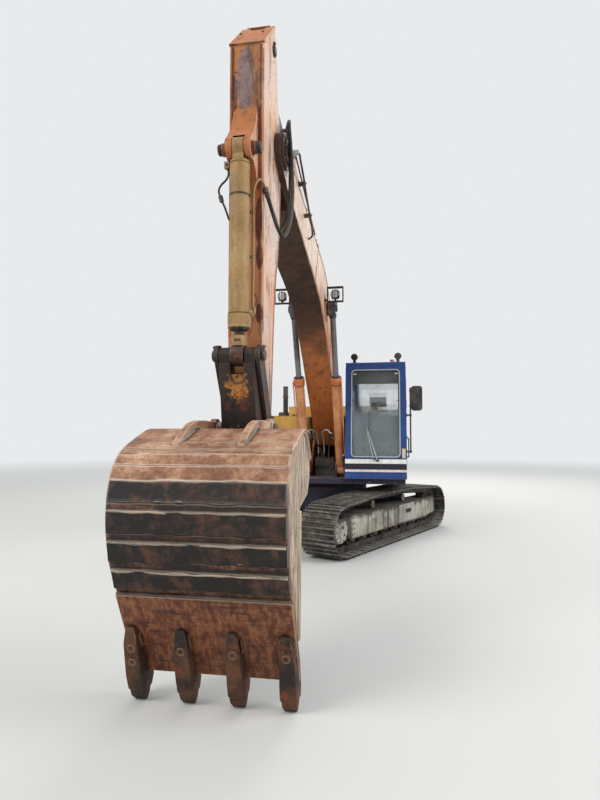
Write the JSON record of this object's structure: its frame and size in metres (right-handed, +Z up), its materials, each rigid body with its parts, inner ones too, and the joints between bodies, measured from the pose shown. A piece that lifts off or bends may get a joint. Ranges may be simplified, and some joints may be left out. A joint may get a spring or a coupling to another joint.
{
  "type": "crawler excavator",
  "caption": "Crawler excavator with blue cab, gooseneck boom, stick and bucket on moving hydraulic linkages, swinging upper structure and opening doors",
  "frame": {"origin": "on the ground below the middle of the machine's bounding box", "axes": "+Z up, the upper structure faces -Y, the cab is on the +X side; the undercarriage is turned -25.44 degrees about +Z"},
  "size_m": [4.336, 9.7398, 5.604],
  "materials": {
    "navy": "worn satin",
    "yellow": "worn satin",
    "orange": "worn satin",
    "blue": "satin",
    "cream": "worn",
    "rust": "rusted",
    "steel": "worn",
    "rod": "dull",
    "black": "matte",
    "glass": "clear"
  },
  "bodies": {
    "undercarriage": {"carbody": "navy", "swing_ring": "steel", "track_frame_left": "cream", "track_frame_right": "cream", "track_left": "rust", "track_right": "rust", "sprockets": "steel", "idlers": "steel", "track_rollers": "steel"},
    "upper": {"revolving_frame": "navy", "counterweight": "navy", "engine": "steel", "radiator": "black", "valve_block": "black", "fuel_tank": "yellow", "hydraulic_tank": "yellow", "tool_box": "yellow", "house_frame": "yellow", "exhaust": "black", "cab_floor": "blue", "cab_front": "blue", "cab_side": "blue", "cab_inner_wall": "blue", "cab_rear": "blue", "cab_roof": "blue", "cab_glass": "glass", "seat": "black", "controls": "black", "handrails": "black", "mirror": "black", "cab_lamps": "cream"},
    "engine_hood": {"engine_hood": "yellow"},
    "pump_door": {"pump_door": "yellow"},
    "radiator_door": {"radiator_door": "yellow"},
    "cab_door": {"cab_door": "blue", "door_glass": "glass"},
    "boom": {"boom": "orange", "boom_pipes": "steel", "boom_lamps": "cream"},
    "stick": {"stick": "orange"},
    "bucket": {"bucket": "rust", "bucket_teeth": "rust"},
    "rocker": {"rocker_links": "rust"},
    "link": {"bucket_link": "rust"},
    "boom_barrel_left": {"boom_barrel_left": "orange"},
    "boom_barrel_right": {"boom_barrel_right": "orange"},
    "boom_rod_left": {"boom_rod_left": "rod"},
    "boom_rod_right": {"boom_rod_right": "rod"},
    "stick_barrel": {"stick_barrel": "orange"},
    "stick_rod": {"stick_rod": "rod"},
    "bucket_barrel": {"bucket_barrel": "orange"},
    "bucket_rod": {"bucket_rod": "rod"}
  },
  "joints": [
    {"name": "swing", "type": "hinge", "parent": "undercarriage", "child": "upper", "pos_m": [0, 2.09, 1], "axis": [0, 0, 1], "continuous": true},
    {"name": "boom", "type": "hinge", "parent": "upper", "child": "boom", "pos_m": [0, 1.953, 1.742], "axis": [-1, 0, 0], "range_deg": [-63, 33]},
    {"name": "stick", "type": "hinge", "parent": "boom", "child": "stick", "pos_m": [0, -3.0962, 4.4846], "axis": [1, 0, 0], "range_deg": [-75, 30]},
    {"name": "bucket", "type": "hinge", "parent": "stick", "child": "bucket", "pos_m": [0, -3.57, 1.46], "axis": [1, 0, 0], "range_deg": [-4, 160]},
    {"name": "boom_barrel_left", "type": "hinge", "parent": "upper", "child": "boom_barrel_left", "pos_m": [0.297, 1.29, 1.2], "axis": [-1, 0, 0], "range_deg": [-64.76, 34.16]},
    {"name": "boom_rod_left", "type": "slide", "parent": "boom_barrel_left", "child": "boom_rod_left", "axis": [0, -0.426, 0.9047], "range_m": [-0.8387, 0.4407]},
    {"name": "boom_barrel_right", "type": "hinge", "parent": "upper", "child": "boom_barrel_right", "pos_m": [-0.297, 1.29, 1.2], "axis": [-1, 0, 0], "range_deg": [-64.76, 34.16]},
    {"name": "boom_rod_right", "type": "slide", "parent": "boom_barrel_right", "child": "boom_rod_right", "axis": [0, -0.426, 0.9047], "range_m": [-0.8387, 0.4407]},
    {"name": "stick_barrel", "type": "hinge", "parent": "boom", "child": "stick_barrel", "pos_m": [0, -0.11, 4.55], "axis": [-1, 0, 0], "range_deg": [-6.12, 2.75]},
    {"name": "stick_rod", "type": "slide", "parent": "stick_barrel", "child": "stick_rod", "axis": [0, -0.9689, 0.2476], "range_m": [-1.0895, 0.4376]},
    {"name": "bucket_barrel", "type": "hinge", "parent": "stick", "child": "bucket_barrel", "pos_m": [0, -3.88, 4.14], "axis": [-1, 0, 0], "range_deg": [-0.62, 5.3]},
    {"name": "bucket_rod", "type": "slide", "parent": "bucket_barrel", "child": "bucket_rod", "axis": [0, 0.0059, -1], "range_m": [-0.0281, 1.0083]},
    {"name": "rocker", "type": "hinge", "parent": "stick", "child": "rocker", "pos_m": [0, -3.55, 1.9], "axis": [1, 0, 0], "range_deg": [-3.3, 112.5]},
    {"name": "link", "type": "hinge", "parent": "rocker", "child": "link", "pos_m": [0, -3.87, 2.45], "axis": [-1, 0, 0], "range_deg": [-2.54, 82.1]},
    {"name": "cab_door", "type": "hinge", "parent": "upper", "child": "cab_door", "pos_m": [1.396, 1.8475, 1.2], "axis": [0, 0, 1], "range_deg": [0, 160]},
    {"name": "engine_hood", "type": "hinge", "parent": "upper", "child": "engine_hood", "pos_m": [0, 2.716, 2.1735], "axis": [1, 0, 0], "range_deg": [0, 60]},
    {"name": "pump_door", "type": "hinge", "parent": "upper", "child": "pump_door", "pos_m": [-1.376, 3.9825, 1.1], "axis": [0, 0, -1], "range_deg": [0, 120]},
    {"name": "radiator_door", "type": "hinge", "parent": "upper", "child": "radiator_door", "pos_m": [1.376, 3.9825, 1.1], "axis": [0, 0, 1], "range_deg": [0, 120]}
  ],
  "couplings": [
    {"joint": "boom_barrel_left", "follows": "boom", "ratio": 1.02},
    {"joint": "boom_rod_left", "follows": "boom", "m_per_rad": 0.76},
    {"joint": "boom_barrel_right", "follows": "boom", "ratio": 1.02},
    {"joint": "boom_rod_right", "follows": "boom", "m_per_rad": 0.76},
    {"joint": "stick_barrel", "follows": "stick", "ratio": 0.075},
    {"joint": "stick_rod", "follows": "stick", "m_per_rad": 0.83},
    {"joint": "bucket_barrel", "follows": "bucket", "ratio": 0.03},
    {"joint": "bucket_rod", "follows": "bucket", "m_per_rad": 0.36},
    {"joint": "rocker", "follows": "bucket", "ratio": 0.7},
    {"joint": "link", "follows": "bucket", "ratio": 0.51}
  ]
}
